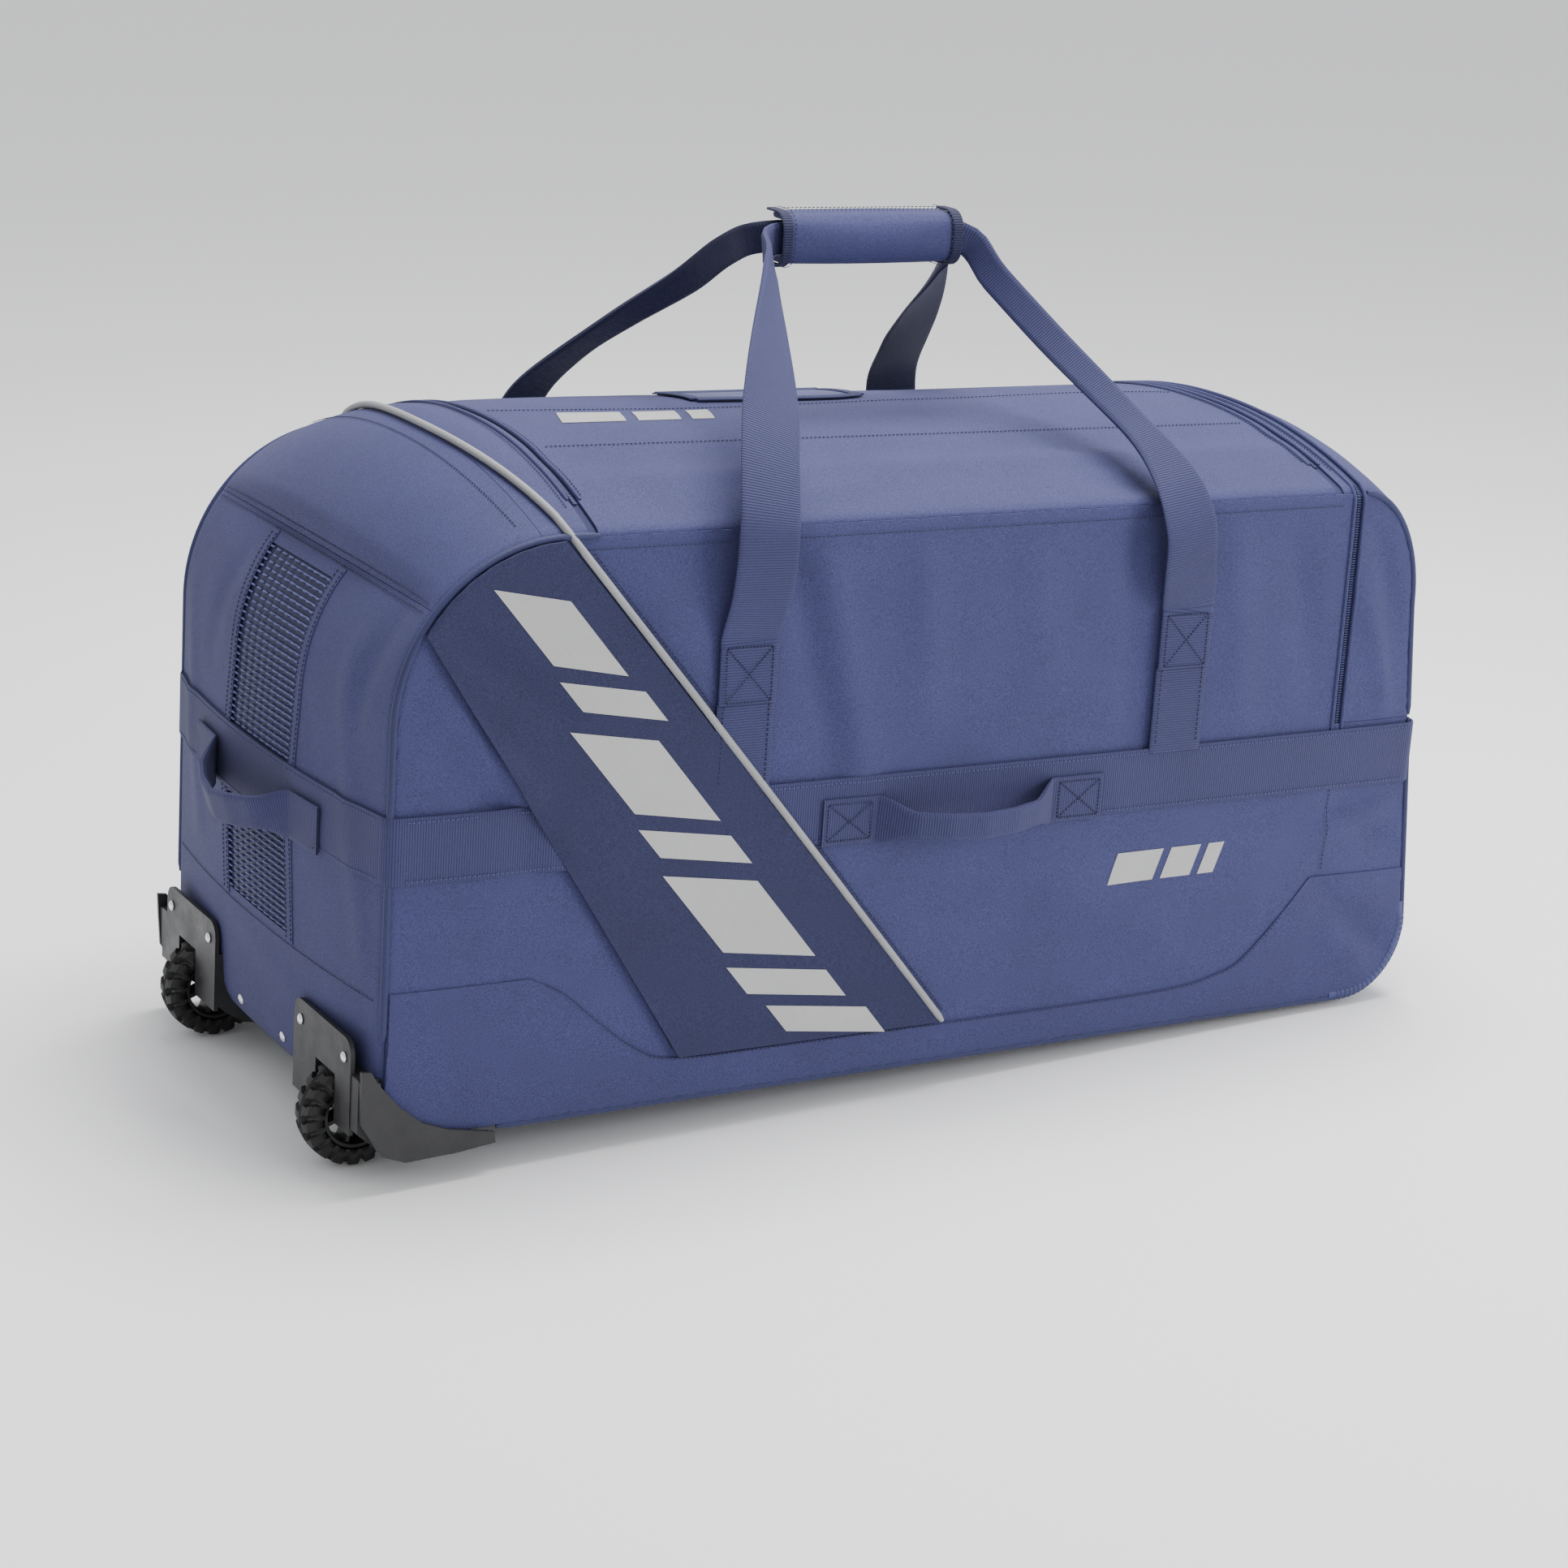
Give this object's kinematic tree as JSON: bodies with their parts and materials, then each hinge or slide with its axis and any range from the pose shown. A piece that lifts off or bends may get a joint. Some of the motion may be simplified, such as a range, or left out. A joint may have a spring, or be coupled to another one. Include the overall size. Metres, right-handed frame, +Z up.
{
  "type": "wheeled hockey equipment bag",
  "caption": "Wheeled hockey equipment bag: soft box with zipped top lid and end pocket, padded carry loops, grab handles, vent panel and wheels in corner housings.",
  "frame": {"origin": "centre of the footprint, on the floor that the tyres and edge guards rest on", "axes": "+X from the wheel end to the pulling end, +Y from the front face to the back face, +Z up; the bag stands tilted 2.6 degrees, wheel end up"},
  "size_m": [1.0696, 0.501, 0.6827],
  "materials": {
    "board": "matte",
    "cloth": "matte",
    "dark_cloth": "matte",
    "grey_piping": "satin",
    "guard": "ribbed",
    "mesh": "ribbed mesh",
    "piping": "matte",
    "plastic": "matte",
    "steel": "polished",
    "tread": "matte",
    "webbing": "ribbed matte",
    "window": "satin",
    "zip": "satin"
  },
  "bodies": {
    "bag": {"axle_far": "steel", "axle_near": "steel", "back_accent_panel": "dark_cloth", "back_band": "webbing", "back_edge_guard": "guard", "back_panel": "cloth", "back_piping": "piping", "back_strap_anchor_left": "webbing", "back_strap_anchor_right": "webbing", "back_yoke": "dark_cloth", "base_board": "board", "bottom_panel": "dark_cloth", "front_accent_panel": "dark_cloth", "front_band": "webbing", "front_edge_guard": "guard", "front_panel": "cloth", "front_piping": "piping", "front_strap_anchor_left": "webbing", "front_strap_anchor_right": "webbing", "front_yoke": "dark_cloth", "grey_piping": "grey_piping", "lid_zip": "zip", "pocket_divider": "cloth", "pocket_zip": "zip", "pulling_end_band": "webbing", "pulling_end_panel": "cloth", "rivet_far_inner": "steel", "rivet_far_outer": "steel", "rivet_middle_far": "steel", "rivet_middle_near": "steel", "rivet_near_inner": "steel", "rivet_near_outer": "steel", "shoulder_panel": "cloth", "top_border": "cloth", "vent_mesh": "mesh", "wheel_end_band": "webbing", "wheel_end_board": "board", "wheel_end_panel": "cloth", "wheel_housing_far": "plastic", "wheel_housing_near": "plastic"},
    "lid": {"lid_panel": "cloth", "id_window": "window"},
    "front_carry_loop": {"front_carry_strap": "webbing", "grip_wrap": "cloth"},
    "rear_carry_loop": {"rear_carry_strap": "webbing"},
    "pocket_flap": {"pocket_flap_end": "cloth", "pocket_flap_front": "cloth", "pocket_flap_back": "cloth"},
    "front_grab": {"front_handle": "webbing"},
    "back_grab": {"back_handle": "webbing"},
    "wheel_end_grab": {"wheel_end_handle": "webbing"},
    "pulling_end_grab": {"pulling_end_handle": "webbing"},
    "wheel_near": {"tyre_near": "tread", "hub_near": "plastic"},
    "wheel_far": {"tyre_far": "tread", "hub_far": "plastic"},
    "lid_slider_1": {"lid_slider_left": "steel"},
    "lid_slider_2": {"lid_slider_right": "steel"},
    "pocket_slide": {"pocket_slider": "steel"}
  },
  "joints": [
    {"name": "wheel_near_spin", "type": "hinge", "parent": "bag", "child": "wheel_near", "pos_m": [-0.4741, -0.149, 0.0415], "axis": [0, 1, 0], "continuous": true},
    {"name": "wheel_far_spin", "type": "hinge", "parent": "bag", "child": "wheel_far", "pos_m": [-0.4741, 0.149, 0.0415], "axis": [0, 1, 0], "continuous": true},
    {"name": "lid_open", "type": "hinge", "parent": "bag", "child": "lid", "pos_m": [-0.29876, -0.2125, 0.49244], "axis": [0.9989, 0, -0.0458], "range_deg": [0, 100]},
    {"name": "front_carry_fold", "type": "hinge", "parent": "bag", "child": "front_carry_loop", "pos_m": [0.00629, -0.221, 0.38825], "axis": [0.9989, 0, -0.0458], "range_deg": [0, 150]},
    {"name": "rear_carry_fold", "type": "hinge", "parent": "bag", "child": "rear_carry_loop", "pos_m": [0.00629, 0.221, 0.38825], "axis": [-0.9989, 0, 0.0458], "range_deg": [0, 150]},
    {"name": "pocket_flap_open", "type": "hinge", "parent": "bag", "child": "pocket_flap", "pos_m": [0.49047, 0, 0.25453], "axis": [0, 1, 0], "range_deg": [0, 110]},
    {"name": "front_handle_swing", "type": "hinge", "parent": "bag", "child": "front_grab", "pos_m": [0.02188, -0.228, 0.23698], "axis": [0.9989, 0, -0.0458], "range_deg": [-40, 40]},
    {"name": "back_handle_swing", "type": "hinge", "parent": "bag", "child": "back_grab", "pos_m": [0.02188, 0.228, 0.23698], "axis": [-0.9989, 0, 0.0458], "range_deg": [-40, 40]},
    {"name": "wheel_end_handle_swing", "type": "hinge", "parent": "bag", "child": "wheel_end_grab", "pos_m": [-0.50049, 0, 0.26094], "axis": [0, -1, 0], "range_deg": [-40, 40]},
    {"name": "pulling_end_handle_swing", "type": "hinge", "parent": "bag", "child": "pulling_end_grab", "pos_m": [0.50177, 0, 0.21497], "axis": [0, 1, 0], "range_deg": [-40, 40]},
    {"name": "lid_slider_left_slide", "type": "slide", "parent": "bag", "child": "lid_slider_1", "axis": [-0.9989, 0, 0.0458], "range_m": [0, 0.29]},
    {"name": "lid_slider_right_slide", "type": "slide", "parent": "bag", "child": "lid_slider_2", "axis": [0.9989, 0, -0.0458], "range_m": [0, 0.29]},
    {"name": "pocket_slider_slide", "type": "slide", "parent": "bag", "child": "pocket_slide", "axis": [0.0458, 0, 0.9989], "range_m": [0, 0.14]}
  ],
  "couplings": [
    {"joint": "front_carry_fold", "follows": "lid_open", "ratio": 1.5},
    {"joint": "rear_carry_fold", "follows": "lid_open", "ratio": 1.5}
  ]
}
